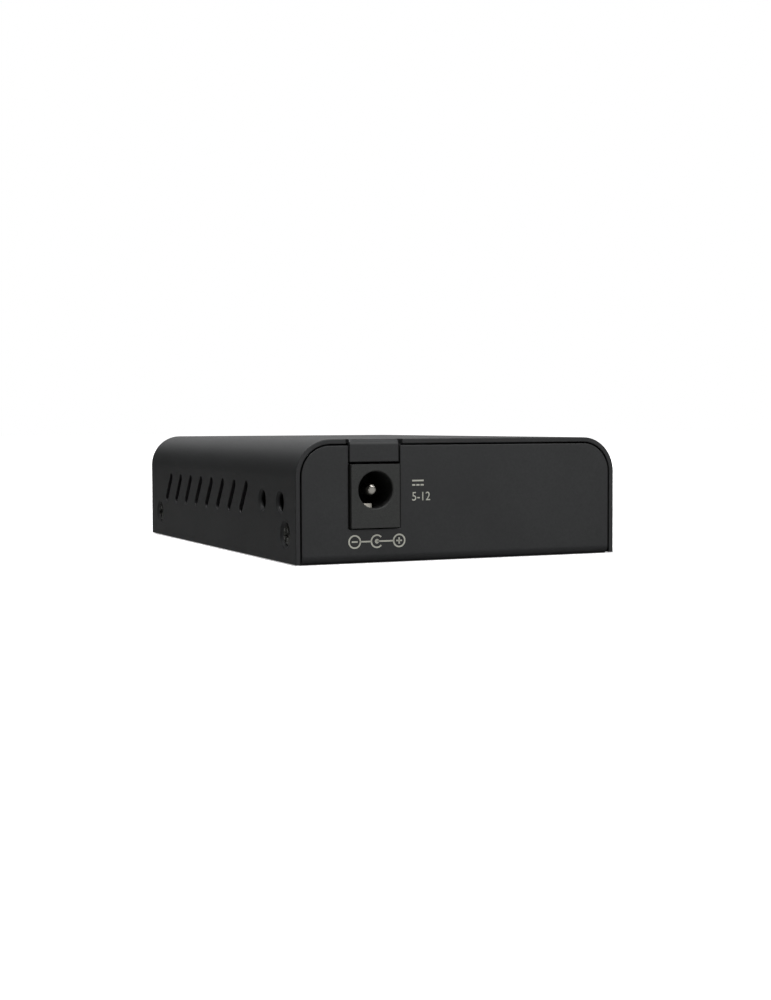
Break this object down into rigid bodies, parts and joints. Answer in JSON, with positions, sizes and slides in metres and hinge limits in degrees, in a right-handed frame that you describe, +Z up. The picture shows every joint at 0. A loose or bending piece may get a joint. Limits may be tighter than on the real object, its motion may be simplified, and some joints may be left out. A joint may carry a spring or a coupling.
{
  "type": "fibre media converter",
  "caption": "Small folded steel box that converts copper Ethernet to duplex fibre, with louvred sides, countersunk screws and a barrel power inlet.",
  "frame": {"origin": "middle of the tray's underside, on the surface that the box stands on", "axes": "+Z up; +Y towards the panel with the power inlet, so the data ports face -Y; +X to the left of someone who faces the power inlet"},
  "size_m": [0.062, 0.0906, 0.0213],
  "materials": {
    "painted_steel": "satin powder coat",
    "black_screw": "black zinc plate",
    "jack_nylon": "moulded",
    "nickel": "nickel plate",
    "tinned": "tin plate",
    "board_green": "solder mask",
    "brass_standoff": "turned",
    "zinc_screw": "zinc plate",
    "socket_plastic": "moulded",
    "gold_contact": "gold plate",
    "fibre_plastic": "moulded",
    "sleeve_metal": "turned",
    "lamp_resin": "translucent",
    "holder_plastic": "moulded",
    "chip_epoxy": "moulded",
    "steel_can": "drawn",
    "aluminium_can": "drawn",
    "ferrite": "sintered",
    "ceramic": "fired"
  },
  "bodies": {
    "root": {"top_cover": "painted_steel", "base_tray": "painted_steel", "cover_screws": "black_screw", "board_standoffs": "brass_standoff", "board_screws": "zinc_screw", "circuit_board": "board_green", "dc_jack_body": "jack_nylon", "dc_jack_pin": "nickel", "dc_jack_plate": "nickel", "dc_jack_leaf": "nickel", "rj45_shield": "nickel", "rj45_insert": "socket_plastic", "rj45_carrier": "socket_plastic", "rj45_contacts": "gold_contact", "fibre_housing": "fibre_plastic", "fibre_barrels": "sleeve_metal", "fibre_latches": "fibre_plastic", "fibre_header_pins": "tinned", "lamp_holder": "holder_plastic", "indicator_lamps": "lamp_resin", "lamp_leads": "tinned", "converter_chip": "chip_epoxy", "converter_chip_leads": "tinned", "line_transformer": "chip_epoxy", "line_transformer_leads": "tinned", "regulator_chip": "chip_epoxy", "regulator_chip_leads": "tinned", "memory_chip": "chip_epoxy", "memory_chip_leads": "tinned", "input_diode": "chip_epoxy", "input_diode_leads": "tinned", "crystal_base": "chip_epoxy", "crystal_can": "steel_can", "capacitor_bases": "chip_epoxy", "capacitor_cans": "aluminium_can", "power_inductor": "ferrite", "input_fuse": "ceramic", "chip_resistors": "ceramic", "chip_capacitors": "ceramic"}
  },
  "joints": []
}
